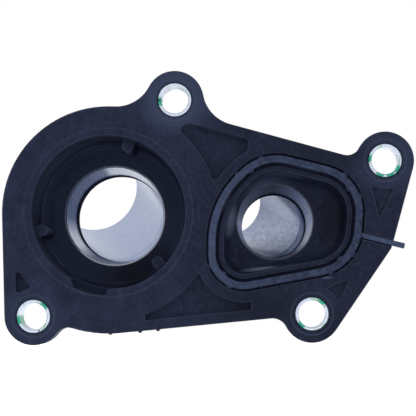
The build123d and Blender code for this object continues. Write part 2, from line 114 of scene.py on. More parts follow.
# %% [markdown]
# A finish is painted in layers: a tone goes over the colour below it, as far as a mask says. A mask
# asks how far a value lies inside limits, such as a depth or a distance from a bore's line. The
# patterns read Object coordinates, turned to millimetres, so that each limit and each pattern's
# size is a real size.

# %% Helpers for masks and layers
STRAIGHT_BACK = (0.0, 1.0, 0.0)


def millimetres(tree):
    """Place on the piece, in millimetres."""
    place = add(tree, "ShaderNodeTexCoord").outputs["Object"]
    return add(tree, VECTOR_MATH, {"operation": "SCALE"}, _0=place, Scale=1.0 / MM).outputs[0]


def product(tree, *factors):
    """Product of any number of values."""
    result = factors[0]
    for factor in factors[1:]:
        result = add(tree, MATH, {"operation": "MULTIPLY"}, _0=result, _1=factor).outputs[0]
    return result


def inside(tree, value, *limits):
    """How far a value is inside limits, from nought to one.

    It climbs from the first limit to the second, which may be the lower one. Where there are four,
    it falls again from the third to the fourth.
    """
    climb = add(tree, "ShaderNodeMapRange", Value=value, From_Min=limits[0], From_Max=limits[1])
    if len(limits) == 2:
        return climb.outputs["Result"]
    fall = add(tree, "ShaderNodeMapRange", Value=value, From_Min=limits[3], From_Max=limits[2])
    return product(tree, climb.outputs["Result"], fall.outputs["Result"])


def lay(tree, under, tone, *shares):
    """Colour with a tone laid over it, as far as the product of the shares says."""
    first, second = (linear(part) if isinstance(part, str) else part for part in (under, tone))
    share = product(tree, *shares)
    return add(tree, "ShaderNodeMix", {"data_type": "RGBA"}, Factor=share, _6=first, _7=second).outputs[2]


def with_stops(ramp, stops):
    """Colour of a ramp, once it has its stops: pairs of a place and a screen colour."""
    elements = ramp.color_ramp.elements
    while len(elements) < len(stops):
        elements.new(0.5)
    for element, (place, code) in zip(elements, stops):
        element.position = place
        element.color = linear(code)
    return ramp.outputs["Color"]


def from_line(tree, place, point, direction=STRAIGHT_BACK):
    """Distance of a place from a line through a point."""
    offset = add(tree, VECTOR_MATH, {"operation": "SUBTRACT"}, _0=place, _1=point)
    across = add(tree, VECTOR_MATH, {"operation": "CROSS_PRODUCT"}, _0=offset.outputs[0], _1=direction)
    return add(tree, VECTOR_MATH, {"operation": "LENGTH"}, _0=across.outputs[0]).outputs["Value"]


print("bores and bolt holes run along", STRAIGHT_BACK)

# %% [markdown]
# ## The rubber seal
#
# On the real flange one moulded rubber ring lies in a groove round the shaped port. Its top has
# two soft ridges with a valley between them, and small nubs hold it in the groove until the flange
# is bolted on. A ring like that follows a path, so Geometry Nodes sweep its section along it. The
# path is the port's line: five corners, each rounded by its own radius.

# %% The line that the seal follows
PORT_CORNERS = [
    (50.6, 19.1, 15.2),
    (83.2, 11.1, 14.3),
    (81.1, -17.3, 15.0),
    (34.1, -26.1, 10.4),
    (34.1, 2.9, 30.4),
]
PORT_MIDDLE = Vector((58.3, -3.1))
CORNER_STEPS = 20


def rounded_loop(corners, steps):
    """Points round a loop of corners, each with a radius, anticlockwise as seen from the front."""
    points = []
    count = len(corners)
    for index in range(count):
        corner = Vector(corners[index][:2])
        before = (Vector(corners[index - 1][:2]) - corner).normalized()
        after = (Vector(corners[(index + 1) % count][:2]) - corner).normalized()
        radius = corners[index][2]
        half = math.acos(before.dot(after)) / 2
        middle = corner + (before + after).normalized() * (radius / math.sin(half))
        start = corner + before * (radius / math.tan(half)) - middle
        sweep = -(math.pi - 2 * half)
        for step in range(steps + 1):
            turn = sweep * step / steps
            cosine, sine = math.cos(turn), math.sin(turn)
            spoke = Vector((start.x * cosine - start.y * sine, start.x * sine + start.y * cosine))
            points.append(middle + spoke)
    return points[::-1]


seal_line = rounded_loop(PORT_CORNERS, CORNER_STEPS)
length = sum((seal_line[i] - seal_line[i - 1]).length for i in range(len(seal_line)))
print("seal line:", len(seal_line), "points,", round(length, 1), "mm long")

# %% [markdown]
# The section is drawn once, as the mould cut it: a foot in the groove that is a little wider on its
# outer side, where it keeps the ring from tipping, round shoulders 0.7 mm proud of the mating face,
# and a shallow valley that leaves two soft ridges. The first number of a point is its height out of
# the face, and the second its place across the seal, outwards.

# %% The seal's section
SEAL_HALF_WIDTH = 1.15
GROOVE_DEPTH = 3.0
RIDGE_TOP = 0.7
SHOULDER_RADIUS = 0.45
SHOULDER_STEPS = 6
VALLEY_DROP = 0.22
VALLEY_HALF_WIDTH = 0.55
VALLEY_STEPS = 6
FOOT_TOP_DEPTH = 1.0
FOOT_REACH = 0.35
FOOT_CHAMFER = 0.15


def seal_section():
    """Points round the section, from the outer foot over both ridges to the inner side."""
    foot_edge = SEAL_HALF_WIDTH + FOOT_REACH
    outer_foot = [
        (-GROOVE_DEPTH, foot_edge),
        (-FOOT_TOP_DEPTH - FOOT_CHAMFER, foot_edge),
        (-FOOT_TOP_DEPTH, foot_edge - FOOT_CHAMFER),
        (-FOOT_TOP_DEPTH, SEAL_HALF_WIDTH),
    ]
    outer_half = []
    for step in range(SHOULDER_STEPS + 1):
        turn = math.pi / 2 * step / SHOULDER_STEPS
        place = SEAL_HALF_WIDTH - SHOULDER_RADIUS * (1 - math.cos(turn))
        outer_half.append((RIDGE_TOP - SHOULDER_RADIUS * (1 - math.sin(turn)), place))
    for step in range(VALLEY_STEPS, -1, -1):
        place = VALLEY_HALF_WIDTH * step / VALLEY_STEPS
        dip = VALLEY_DROP * (1 + math.cos(math.pi * step / VALLEY_STEPS)) / 2
        outer_half.append((RIDGE_TOP - dip, place))
    inner_half = [(up, -across) for up, across in outer_half[-2::-1]]
    inner_foot = [(-GROOVE_DEPTH, -SEAL_HALF_WIDTH)]
    return outer_foot + outer_half + inner_half + inner_foot


def line_mesh(name, points, closed=True):
    """Object of points joined by edges, with coordinates in millimetres."""
    mesh = bpy.data.meshes.new(name)
    edges = [(i, i + 1) for i in range(len(points) - 1)]
    if closed:
        edges.append((len(points) - 1, 0))
    mesh.from_pydata([[c * MM for c in point] for point in points], edges, [])
    guide = bpy.data.objects.new(name, mesh)
    bpy.context.scene.collection.objects.link(guide)
    return guide


section_guide = line_mesh("seal_section", [(up, across, 0.0) for up, across in seal_section()])
print("seal section:", len(section_guide.data.vertices), "points")

# %% [markdown]
# Four of the five corners have two nubs outside the seal and one inside it. They repeat one small
# cylinder, so the same tree sets it on marked places. A mark lies where a ray from the middle of
# the port crosses the line, and is moved sideways so that the nub shows 0.6 mm of itself.

# %% Places of the retaining nubs
NUB_RADIUS = 1.5
NUB_SIDES = 24
NUB_REACH = 0.6
NUB_TOP_DEPTH = 0.3
OUTER_NUBS = [111.0, 135.0, 38.5, 19.7, -26.0, -46.5, 210.5, 228.3]
INNER_NUBS = [124.0, 29.0, -36.0, 219.5]


def mark_on_line(bearing, side):
    """Middle of a nub at a bearing from the port's middle: side 1 is outside the seal, -1 inside."""
    wanted = math.radians(bearing)

    def miss(index):
        spoke = seal_line[index] - PORT_MIDDLE
        return abs(math.remainder(math.atan2(spoke.y, spoke.x) - wanted, 2 * math.pi))

    nearest = min(range(len(seal_line)), key=miss)
    along = (seal_line[(nearest + 1) % len(seal_line)] - seal_line[nearest - 1]).normalized()
    outward = Vector((along.y, -along.x))
    return seal_line[nearest] + outward * side * (SEAL_HALF_WIDTH + NUB_REACH - NUB_RADIUS)


marks = [mark_on_line(bearing, 1) for bearing in OUTER_NUBS]
marks += [mark_on_line(bearing, -1) for bearing in INNER_NUBS]
nub_middle = (GROOVE_DEPTH + NUB_TOP_DEPTH) / 2
mark_guide = line_mesh("nub_marks", [(mark.x, nub_middle, mark.y) for mark in marks], closed=False)
print("nub marks:", len(marks))

# %% [markdown]
# The tree has one input for each thing that may change. A modifier's input is set by its
# identifier, and before the object is first evaluated. The result is turned into a plain mesh, and
# the guides go away.

# %% Sweep the seal with Geometry Nodes
TREE_INPUTS = {
    "Line": "NodeSocketGeometry",
    "Section": "NodeSocketObject",
    "Nub Marks": "NodeSocketObject",
    "Nub Radius": "NodeSocketFloat",
    "Nub Height": "NodeSocketFloat",
    "Rubber": "NodeSocketMaterial",
}
OUT_OF_FACE = (0.0, -1.0, 0.0)


def seal_tree():
    """Node tree that sweeps a section along the seal's line and sets a nub on each mark."""
    tree = bpy.data.node_groups.new("moulded_ring_seal", "GeometryNodeTree")
    for name, kind in TREE_INPUTS.items():
        tree.interface.new_socket(name, in_out="INPUT", socket_type=kind)
    tree.interface.new_socket("Seal", in_out="OUTPUT", socket_type="NodeSocketGeometry")
    given = add(tree, "NodeGroupInput").outputs

    line = add(tree, "GeometryNodeMeshToCurve", Mesh=given["Line"]).outputs[0]
    upright = add(tree, "GeometryNodeSetCurveNormal", {"mode": "FREE"}, Curve=line, Normal=OUT_OF_FACE)
    section = add(tree, "GeometryNodeObjectInfo", Object=given["Section"]).outputs["Geometry"]
    outline = add(tree, "GeometryNodeMeshToCurve", Mesh=section).outputs[0]
    ring = add(tree, "GeometryNodeCurveToMesh", Curve=upright.outputs[0], Profile_Curve=outline)

    nub = add(
        tree,
        "GeometryNodeMeshCylinder",
        {"fill_type": "NGON"},
        Vertices=NUB_SIDES,
        Radius=given["Nub Radius"],
        Depth=given["Nub Height"],
    )
    places = add(tree, "GeometryNodeObjectInfo", Object=given["Nub Marks"])
    nubs = add(
        tree,
        "GeometryNodeInstanceOnPoints",
        Points=places.outputs["Geometry"],
        Instance=nub.outputs["Mesh"],
        Rotation=(math.radians(90.0), 0.0, 0.0),
    )
    real = add(tree, "GeometryNodeRealizeInstances", Geometry=nubs.outputs[0])
    joined = add(tree, "GeometryNodeJoinGeometry")
    tree.links.new(ring.outputs[0], joined.inputs[0])
    tree.links.new(real.outputs[0], joined.inputs[0])
    finish = add(tree, "GeometryNodeSetMaterial", Geometry=joined.outputs[0], Material=given["Rubber"])
    add(tree, "NodeGroupOutput", _0=finish.outputs[0])
    return tree


def set_input(modifier, name, value):
    """Sets the input of that name on a Geometry Nodes modifier, by its identifier."""
    for item in modifier.node_group.interface.items_tree:
        if item.item_type == "SOCKET" and item.in_out == "INPUT" and item.name == name:
            modifier[item.identifier] = value


rubber, rubber_tree = fresh_material("EPDM_rubber_moulded")
ring_guide = line_mesh("seal_line", [(point.x, 0.0, point.y) for point in seal_line])
sweep = ring_guide.modifiers.new("moulded ring seal", "NODES")
sweep.node_group = seal_tree()
set_input(sweep, "Section", section_guide)
set_input(sweep, "Nub Marks", mark_guide)
set_input(sweep, "Nub Radius", NUB_RADIUS * MM)
set_input(sweep, "Nub Height", (GROOVE_DEPTH - NUB_TOP_DEPTH) * MM)
set_input(sweep, "Rubber", rubber)
seen = ring_guide.evaluated_get(bpy.context.evaluated_depsgraph_get())
seal_mesh = bpy.data.meshes.new_from_object(seen)
for guide in (ring_guide, section_guide, mark_guide):
    bpy.data.objects.remove(guide)
print("swept seal:", len(seal_mesh.polygons), "faces")

# %% [markdown]
# The seal also has a tab that shows over the flange's edge, so that a fitter can feel that the
# seal is in place. It is one bar with soft edges, and it joins the ring's mesh.

# %% Tab, and the seal as one piece
TAB_ROOT = Vector((82.3, -7.2))
TAB_TIP = Vector((97.3, -11.0))
TAB_WIDTH = 1.8
TAB_TOP_DEPTH = 0.2
TAB_FOOT_DEPTH = 2.0
TAB_FACES = [(0, 1, 2, 3), (7, 6, 5, 4), (0, 4, 5, 1), (1, 5, 6, 2), (2, 6, 7, 3), (3, 7, 4, 0)]
SOFT_EDGE = 0.3
SOFT_EDGE_STEPS = 3
SHARP_ANGLE = 50.0


def bar_corners(start, end, width, top, foot):
    """Eight corners of a bar between two places on the face and two depths."""
    along = (end - start).normalized()
    side = Vector((-along.y, along.x)) * width / 2
    ring = (start - side, end - side, end + side, start + side)
    return [(place.x * MM, depth * MM, place.y * MM) for depth in (top, foot) for place in ring]


work = bmesh.new()
for corner in bar_corners(TAB_ROOT, TAB_TIP, TAB_WIDTH, TAB_TOP_DEPTH, TAB_FOOT_DEPTH):
    work.verts.new(corner)
work.verts.ensure_lookup_table()
for face in TAB_FACES:
    work.faces.new([work.verts[place] for place in face])
bmesh.ops.bevel(
    work,
    geom=work.edges[:],
    offset=SOFT_EDGE * MM,
    segments=SOFT_EDGE_STEPS,
    profile=0.5,
    affect="EDGES",
)
work.from_mesh(seal_mesh)
bmesh.ops.recalc_face_normals(work, faces=work.faces[:])
work.to_mesh(seal_mesh)
work.free()
seal_mesh.materials.clear()
seal_mesh.materials.append(rubber)
for polygon in seal_mesh.polygons:
    polygon.material_index = 0
seal_mesh.shade_smooth()
seal_mesh.set_sharp_from_angle(angle=math.radians(SHARP_ANGLE))

seal = bpy.data.objects.new("port_seal_ring", seal_mesh)
bpy.context.scene.collection.objects.link(seal)
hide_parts("port_seal")
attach(seal, "root")
low = [round(min(vertex.co[axis] for vertex in seal_mesh.vertices) / MM, 2) for axis in range(3)]
high = [round(max(vertex.co[axis] for vertex in seal_mesh.vertices) / MM, 2) for axis in range(3)]
print("seal from", low, "to", high, "mm")

# %% [markdown]
# ## Seal finish: moulded EPDM rubber
#
# EPDM is a black rubber with a dull sheen. A new seal carries a trace of lubricant, so it catches
# more light than the plastic round it, and its ridges draw two soft lines. The sheen is a low
# roughness with a fine mottle, and the mould leaves a grain of about half a millimetre. Where the
# seal is held when it is pressed in, at its left end and by its tab, it is a little paler.

# %% EPDM rubber
RUBBER_MOTTLE_SIZE = 1.6
RUBBER_GRAIN_SIZE = 0.5
RUBBER_TONES = [(0.35, "#22293c"), (0.7, "#404a66")]
TAB_END = (83.0, 86.0)
LEFT_END = (50.0, 34.0)

place = millimetres(rubber_tree)
mottle = add(rubber_tree, NOISE, Vector=place, Scale=1.0 / RUBBER_MOTTLE_SIZE, Detail=4.0, Roughness=0.65)
colour = with_stops(add(rubber_tree, "ShaderNodeValToRGB", Fac=mottle.outputs["Fac"]), RUBBER_TONES)
across = add(rubber_tree, "ShaderNodeSeparateXYZ", Vector=place).outputs["X"]
by_tab = product(rubber_tree, inside(rubber_tree, across, *TAB_END), 0.35)
at_left = product(rubber_tree, inside(rubber_tree, across, *LEFT_END), 0.3)
handled = add(rubber_tree, MATH, {"operation": "ADD"}, _0=by_tab, _1=at_left).outputs[0]
dull = add(rubber_tree, "ShaderNodeMapRange", Value=mottle.outputs["Fac"], To_Min=0.34, To_Max=0.5)
grain = add(rubber_tree, NOISE, Vector=place, Scale=1.0 / RUBBER_GRAIN_SIZE, Detail=2.0)
relief = add(rubber_tree, "ShaderNodeBump", Strength=0.25, Distance=0.04 * MM, Height=grain.outputs["Fac"])
end_material(
    rubber_tree,
    Base_Color=lay(rubber_tree, colour, "#525d7c", handled),
    Roughness=dull.outputs["Result"],
    IOR=1.52,
    Specular_IOR_Level=0.2,
    Specular_Tint=linear("#bcc6ee"),
    Normal=relief.outputs["Normal"],
)
print("rubber nodes:", len(rubber_tree.nodes))

# %% [markdown]
# ## Body finish: glass-filled nylon, moulded
#
# The body is black nylon with about a third of short glass fibre. The fibre makes the skin dull
# and slightly uneven, and handling leaves pale specks and short rubs on the flat face. The bores
# are drawn over polished steel cores, so their walls are smoother and catch the light. The finish
# finds them by their place: inside a radius round each bore's line, behind the pocket and the port.

# %% The bores' sizes, and places on the body
POCKET_RADIUS = 25.2
POCKET_DEPTH = 26.0
PORT_DEPTH = 12.0
MAIN_MIDDLE = (0.0, 0.0, 0.0)
MAIN_MOUTH_RADIUS = 16.7
SMALL_MIDDLE = (54.8, 0.0, -2.6)
SMALL_MOUTH_RADIUS = 12.7
LEDGE_DEPTH = 50.0
BEND_DEPTH = 51.5
LEAN = math.radians(27.0)
EDGE_BLEND = 0.3


def bearing_round(tree, place, middle):
    """Bearing of a place round a middle: nought at the left, a quarter at the top, and so on."""
    offset = add(tree, VECTOR_MATH, {"operation": "SUBTRACT"}, _0=place, _1=middle)
    parts = add(tree, "ShaderNodeSeparateXYZ", Vector=offset.outputs[0]).outputs
    turn = add(tree, MATH, {"operation": "ARCTAN2"}, _0=parts["Z"], _1=parts["X"]).outputs[0]
    return inside(tree, turn, math.pi, -math.pi)


nylon, nylon_tree = fresh_material("glass_filled_nylon_moulded")
nylon_place = millimetres(nylon_tree)
nylon_parts = add(nylon_tree, "ShaderNodeSeparateXYZ", Vector=nylon_place).outputs
nylon_depth = nylon_parts["Y"]
nylon_height = nylon_parts["Z"]
from_pocket = from_line(nylon_tree, nylon_place, MAIN_MIDDLE)
from_small_bore = from_line(nylon_tree, nylon_place, SMALL_MIDDLE)
print("straight bores end at", LEDGE_DEPTH, "mm, and the stubs lean from", BEND_DEPTH, "mm")

# %% [markdown]
# The straight bores show broad bands of painted reflection round them, bright and grey by bearing,
# and fine rings left by the core's turning. A colour ramp over the bearing round the bore paints the
# bands' sheen, and a noise that changes fast with depth and slowly round the bore draws the rings.
# They are less than a tenth of a millimetre apart on a real core, and are drawn at half a
# millimetre.

# %% Finish of the straight bores
RING_SPACING = 0.5
RING_STRETCH = (0.08, 1.0, 0.08)
RING_LIMITS = (0.75, 0.3)
LEDGE_BLEND = 0.1
BRIGHT = "#f8faff"
PALE = "#d0d6e8"
GREY = "#9ca3b6"
DULL = "#7f8698"
DARK = "#363c4e"
# Painted reflection: bright and grey bands by the bearing round each straight bore
MAIN_REFLECTION_BANDS = [
    (0.00, GREY),
    (0.05, GREY),
    (0.205, GREY),
    (0.225, BRIGHT),
    (0.40, BRIGHT),
    (0.46, PALE),
    (0.50, DULL),
    (0.60, BRIGHT),
    (0.68, BRIGHT),
    (0.72, DULL),
    (0.83, DULL),
    (0.90, BRIGHT),
    (0.94, BRIGHT),
    (1.00, GREY),
]
SMALL_REFLECTION_BANDS = [
    (0.00, BRIGHT),
    (0.04, GREY),
    (0.15, DULL),
    (0.24, DARK),
    (0.30, DULL),
    (0.40, PALE),
    (0.58, BRIGHT),
    (0.66, DARK),
    (0.86, DARK),
    (0.93, PALE),
    (1.00, BRIGHT),
]

ring_place = add(nylon_tree, "ShaderNodeMapping", Vector=nylon_place, Scale=RING_STRETCH).outputs[0]
rings = add(nylon_tree, NOISE, Vector=ring_place, Scale=1.0 / RING_SPACING, Detail=2.0)
ringed = inside(nylon_tree, rings.outputs["Fac"], *RING_LIMITS)


def straight_bore(middle, out, radius, start, soften, bands):
    """Mask and painted sheen of one straight bore, from its start to its ledge."""
    mask = product(
        nylon_tree,
        inside(nylon_tree, out, radius + EDGE_BLEND, radius),
        inside(nylon_tree, nylon_depth, start, start + soften),
        inside(nylon_tree, nylon_depth, LEDGE_DEPTH, LEDGE_DEPTH - LEDGE_BLEND),
    )
    around = bearing_round(nylon_tree, nylon_place, middle)
    return mask, with_stops(add(nylon_tree, "ShaderNodeValToRGB", Fac=around), bands)


straight_bores = [
    straight_bore(
        MAIN_MIDDLE,
        from_pocket,
        radius=MAIN_MOUTH_RADIUS + 0.4,
        start=POCKET_DEPTH - 0.05,
        soften=0.2,
        bands=MAIN_REFLECTION_BANDS,
    ),
    straight_bore(
        SMALL_MIDDLE,
        from_small_bore,
        radius=SMALL_MOUTH_RADIUS + 0.1,
        start=PORT_DEPTH - 1.0,
        soften=5.0,
        bands=SMALL_REFLECTION_BANDS,
    ),
]
print("bands:", len(MAIN_REFLECTION_BANDS), "stops in the main bore and", len(SMALL_REFLECTION_BANDS), "in the small one")

# %% [markdown]
# The leaning stubs were drawn on longer cores, which leave a paler wall. It is clouded, most of all
# in the small stub, with clouds about two millimetres across that are drawn out along the stub.
# Each stub is darker low in it, and has painted shade high in it, both with a ragged edge that
# follows the clouds. The ball where a stub meets its straight bore has painted shade that dims its
# reflection.

# %% Finish of the leaning stubs
CLOUD_SIZE = 1.8
CLOUD_STRETCH = (1.0, 0.4, 1.0)
CLOUD_LIMITS = (0.4, 0.6)
RAGGED_HEIGHT = 12.0
HEIGHT_SHARES = (0.1, 0.8)
BEND_BLEND = 0.05
ELBOW_LIMITS = (0.4, -0.2)
MAIN_STUB = {
    "pivot": (0.35, BEND_DEPTH, -0.2),
    "heading": 135.0,
    "radius": 16.2,
    "clear": "#9eaac6",
    "cloudy": "#96a2be",
    "low_tone": "#98a3be",
    "low_strength": 0.5,
    "high_shade": 0.08,
    "elbow_shade": "#b4bcd0",
}
SMALL_STUB = {
    "pivot": (54.6, BEND_DEPTH, -2.8),
    "heading": 147.0,
    "radius": 12.0,
    "clear": "#96a2bc",
    "cloudy": "#7c869f",
    "low_tone": "#4a5369",
    "low_strength": 0.85,
    "high_shade": 0.27,
    "elbow_shade": DULL,
}

cloud_place = add(nylon_tree, "ShaderNodeMapping", Vector=nylon_place, Scale=CLOUD_STRETCH).outputs[0]
clouds = add(nylon_tree, NOISE, Vector=cloud_place, Scale=1.0 / CLOUD_SIZE, Detail=7.0, Roughness=0.8)
uneven = add(nylon_tree, MATH, {"operation": "SUBTRACT"}, _0=clouds.outputs["Fac"], _1=0.5).outputs[0]
ragged = product(nylon_tree, uneven, RAGGED_HEIGHT)
ragged_height = add(nylon_tree, MATH, {"operation": "ADD"}, _0=nylon_height, _1=ragged).outputs[0]


def stub_direction(heading):
    """Unit vector along a hose stub that leans to a heading in the face."""
    turn = math.radians(heading)
    return Vector((math.sin(LEAN) * math.cos(turn), math.cos(LEAN), math.sin(LEAN) * math.sin(turn)))


def leaning_bore(pivot, heading, radius, clear, cloudy, low_tone, low_strength, high_shade, elbow_shade):
    """Mask, colour and sheen of one leaning stub's bore, with painted shade high in it and on its ball."""
    along = stub_direction(heading)
    out = from_line(nylon_tree, nylon_place, pivot, along)
    mask = product(
        nylon_tree,
        inside(nylon_tree, out, radius + EDGE_BLEND, radius),
        inside(nylon_tree, nylon_depth, BEND_DEPTH - BEND_BLEND, BEND_DEPTH + BEND_BLEND),
    )
    low_limits = [pivot[2] - share * radius for share in HEIGHT_SHARES]
    high_limits = [pivot[2] + share * radius for share in HEIGHT_SHARES]
    high = inside(nylon_tree, ragged_height, *high_limits)
    offset = add(nylon_tree, VECTOR_MATH, {"operation": "SUBTRACT"}, _0=nylon_place, _1=pivot).outputs[0]
    run = add(nylon_tree, VECTOR_MATH, {"operation": "DOT_PRODUCT"}, _0=offset, _1=along)
    elbow = inside(nylon_tree, run.outputs["Value"], *ELBOW_LIMITS)

    stops = list(zip(CLOUD_LIMITS, (cloudy, clear)))
    colour = with_stops(add(nylon_tree, "ShaderNodeValToRGB", Fac=clouds.outputs["Fac"]), stops)
    colour = lay(nylon_tree, colour, low_tone, inside(nylon_tree, ragged_height, *low_limits), low_strength)
    # Painted shade high in the stub, in the colour here and in the tint below
    colour = lay(nylon_tree, colour, DARK, high, high_shade)
    # Painted shade on the ball, in the colour and the tint, dims its reflection
    colour = lay(nylon_tree, colour, elbow_shade, elbow)
    sheen = lay(nylon_tree, WHITE, DARK, high, high_shade)
    return mask, colour, lay(nylon_tree, sheen, elbow_shade, elbow)


leaning_bores = [leaning_bore(**stub) for stub in (MAIN_STUB, SMALL_STUB)]
print("bore nodes:", len(nylon_tree.nodes))

# %% [markdown]
# The flat skin is nearly one colour, with a soft mottle where fibre lies near the surface. It has
# painted shade round the port, and painted light on the ears, most of it on the upper left one. The
# ears are found by the sleeves in the packed model. Scuffs of a millimetre or two and a few pale
# specks lie over it.

# %% Skin of the body
SKIN_MOTTLE_SIZE = 6.0
SKIN_TONES = [(0.35, "#1a1f31"), (0.65, "#262c41")]
PORT_PLACE = (62.0, 0.0, -4.0)
PORT_SHADE_REACH = (48.0, 30.0)
EAR_LIGHT_REACH = (13.0, 8.0)
EAR_LIGHT_AMOUNTS = {
    "bolt_sleeve_upper_left": 0.85,
    "bolt_sleeve_upper_right": 0.4,
    "bolt_sleeve_lower_right": 0.1,
    "bolt_sleeve_lower_left": 0.3,
}
SCUFF_SIZE = 1.6
SCUFF_LIMITS = (0.5, 0.75)
SPECK_SPACING = 2.2
SPECK_LIMITS = (0.12, 0.05)
SPECK_RARITY = 0.86


def middle_on_face(name):
    """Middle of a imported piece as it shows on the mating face, in millimetres."""
    low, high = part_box(name)
    return ((low[0] + high[0]) / 2 / MM, 0.0, (low[2] + high[2]) / 2 / MM)


sleeve_middles = {name: middle_on_face(name) for name in EAR_LIGHT_AMOUNTS}
from_sleeve = {
    name: from_line(nylon_tree, nylon_place, middle) for name, middle in sleeve_middles.items()
}
from_port = from_line(nylon_tree, nylon_place, PORT_PLACE)
mottle = add(
    nylon_tree, NOISE, Vector=nylon_place, Scale=1.0 / SKIN_MOTTLE_SIZE, Detail=5.0, Roughness=0.6
)
colour = with_stops(add(nylon_tree, "ShaderNodeValToRGB", Fac=mottle.outputs["Fac"]), SKIN_TONES)
# Painted shade round the port
colour = lay(nylon_tree, colour, "#171b2a", inside(nylon_tree, from_port, *PORT_SHADE_REACH), 0.6)
# Painted light on the ears, strongest on the upper left one
for name, amount in EAR_LIGHT_AMOUNTS.items():
    ear_lit = inside(nylon_tree, from_sleeve[name], *EAR_LIGHT_REACH)
    colour = lay(nylon_tree, colour, "#363e57", ear_lit, amount)

scuffs = add(nylon_tree, NOISE, Vector=nylon_place, Scale=1.0 / SCUFF_SIZE, Detail=6.0, Roughness=0.75)
scuffed = inside(nylon_tree, scuffs.outputs["Fac"], *SCUFF_LIMITS)
colour = lay(nylon_tree, colour, "#3a435c", scuffed, 0.55)
specks = add(nylon_tree, "ShaderNodeTexVoronoi", Vector=nylon_place, Scale=1.0 / SPECK_SPACING)
speck = inside(nylon_tree, specks.outputs["Distance"], *SPECK_LIMITS)
chance = add(nylon_tree, "ShaderNodeSeparateColor", Color=specks.outputs["Color"]).outputs["Red"]
rare = add(nylon_tree, MATH, {"operation": "GREATER_THAN"}, _0=chance, _1=SPECK_RARITY).outputs[0]
colour = lay(nylon_tree, colour, "#3c455c", speck, rare)
print("ears at", [[round(c, 1) for c in middle] for middle in sleeve_middles.values()])

# %% [markdown]
# Some places differ from the skin round them. They are painted light: streaks and patches of painted
# highlight on walls, and painted shade in recesses, on the face and under the plate. Each is a soft
# ellipsoid that lays a tone over the skin. A row holds its middle, its reach along each axis, the
# share of the reach that is even, its tone and its strength.

# %% Painted highlights and shade
PAINTED_LIGHT_PATCHES = [
    # Painted highlights low on the port's wall and on its left wall
    ((55.0, 9.0, -18.8), (13.0, 5.0, 1.5), 0.2, "#8791ac", 0.9),
    ((39.3, 9.0, 1.0), (3.2, 8.0, 10.0), 0.2, "#76809c", 0.85),
    # Painted light on the port's floor and wall at the upper left, and on its upper wall
    ((50.0, 11.0, 8.0), (12.0, 6.0, 9.0), 0.2, "#454e69", 0.7),
    ((60.0, 6.0, 13.5), (14.0, 5.0, 3.0), 0.2, "#414a64", 0.9),
    # Painted shade in the right end of the port
    ((77.0, 10.0, -2.0), (10.0, 14.0, 13.0), 0.2, "#0d1019", 0.85),
    # Painted light on the pocket's floor and upper left wall, painted shade on its floor's lower right
    ((0.0, 24.0, 0.0), (29.0, 14.0, 29.0), 0.8, "#2f3750", 0.5),
    ((-17.0, 12.0, 15.0), (21.0, 12.0, 21.0), 0.4, "#4a5470", 0.5),
    ((9.0, 24.0, -19.0), (19.0, 10.0, 14.0), 0.3, "#0c0f18", 0.8),
    # Painted shade on the face below the port, and between the port and the upper right ear
    ((48.0, 0.0, -31.0), (26.0, 6.0, 8.0), 0.3, "#131723", 0.6),
    ((74.0, 0.0, 19.0), (22.0, 6.0, 7.0), 0.3, "#151925", 0.5),
    # Painted shade in the notch of the pocket
    ((-5.0, 5.0, -26.5), (10.0, 4.6, 3.5), 0.7, "#0d1019", 0.8),
    # Painted highlight of a short raised line by the seal, painted shade under the lower right ear
    ((71.6, 0.0, -21.4), (2.6, 1.0, 0.6), 0.2, "#5a6481", 0.5),
    ((73.0, 0.0, -40.0), (10.0, 9.0, 10.0), 0.2, "#171b2a", 0.7),
]


def painted_light(colour, middle, reach, even, tone, strength):
    """Lays a tone round a middle: fully in the even share of the reach, and less beyond it."""
    offset = add(nylon_tree, VECTOR_MATH, {"operation": "SUBTRACT"}, _0=nylon_place, _1=middle)
    share = add(nylon_tree, VECTOR_MATH, {"operation": "DIVIDE"}, _0=offset.outputs[0], _1=reach)
    out = add(nylon_tree, VECTOR_MATH, {"operation": "LENGTH"}, _0=share.outputs[0]).outputs["Value"]
    return lay(nylon_tree, colour, tone, inside(nylon_tree, out, 1.0, even), strength)


for row in PAINTED_LIGHT_PATCHES:
    colour = painted_light(colour, *row)
print("worn places:", len(PAINTED_LIGHT_PATCHES))

# %% [markdown]
# The pocket's wall has painted shade near its mouth, and painted light at its foot on the left.
# Every sharp edge gets a pale painted highlight too: the Bevel node gives the normal of a rounded
# edge, so where it differs from the true normal there is an edge. The mouth of the small bore is left
# out, because its edge doesn't show a pale line.

# %% Pocket wall and edges
WALL_OUT = [POCKET_RADIUS + step for step in (-0.9, -0.4, 0.1, 0.4)]
WALL_DEPTH = (0.3, 0.8, 5.0, 15.0)
WALL_FOOT_OUT = [POCKET_RADIUS + step for step in (-1.2, -0.5, 0.4, 1.0)]
WALL_FOOT_DEPTH = [POCKET_DEPTH + step for step in (-6.0, -2.5, 0.3, 0.7)]
LEFTWARD = (-0.95, 0.0, 0.3)
LEFTWARD_LIMITS = (2.0, 14.0)
EDGE_RADIUS = 0.4
EDGE_LIMITS = (0.99, 0.8)
SOFT_MOUTH = (14.0, 14.5)

wall_out = inside(nylon_tree, from_pocket, *WALL_OUT)
wall_depth = inside(nylon_tree, nylon_depth, *WALL_DEPTH)
# Painted shade on the pocket's wall near its mouth
colour = lay(nylon_tree, colour, "#0c0f18", wall_out, wall_depth, 0.55)
leftward = add(nylon_tree, VECTOR_MATH, {"operation": "DOT_PRODUCT"}, _0=nylon_place, _1=LEFTWARD)
foot_painted_light = product(
    nylon_tree,
    inside(nylon_tree, from_pocket, *WALL_FOOT_OUT),
    inside(nylon_tree, nylon_depth, *WALL_FOOT_DEPTH),
    inside(nylon_tree, leftward.outputs["Value"], *LEFTWARD_LIMITS),
)
# Painted light at the foot of the pocket's wall on the left
colour = lay(nylon_tree, colour, "#5d6783", foot_painted_light, 0.5)

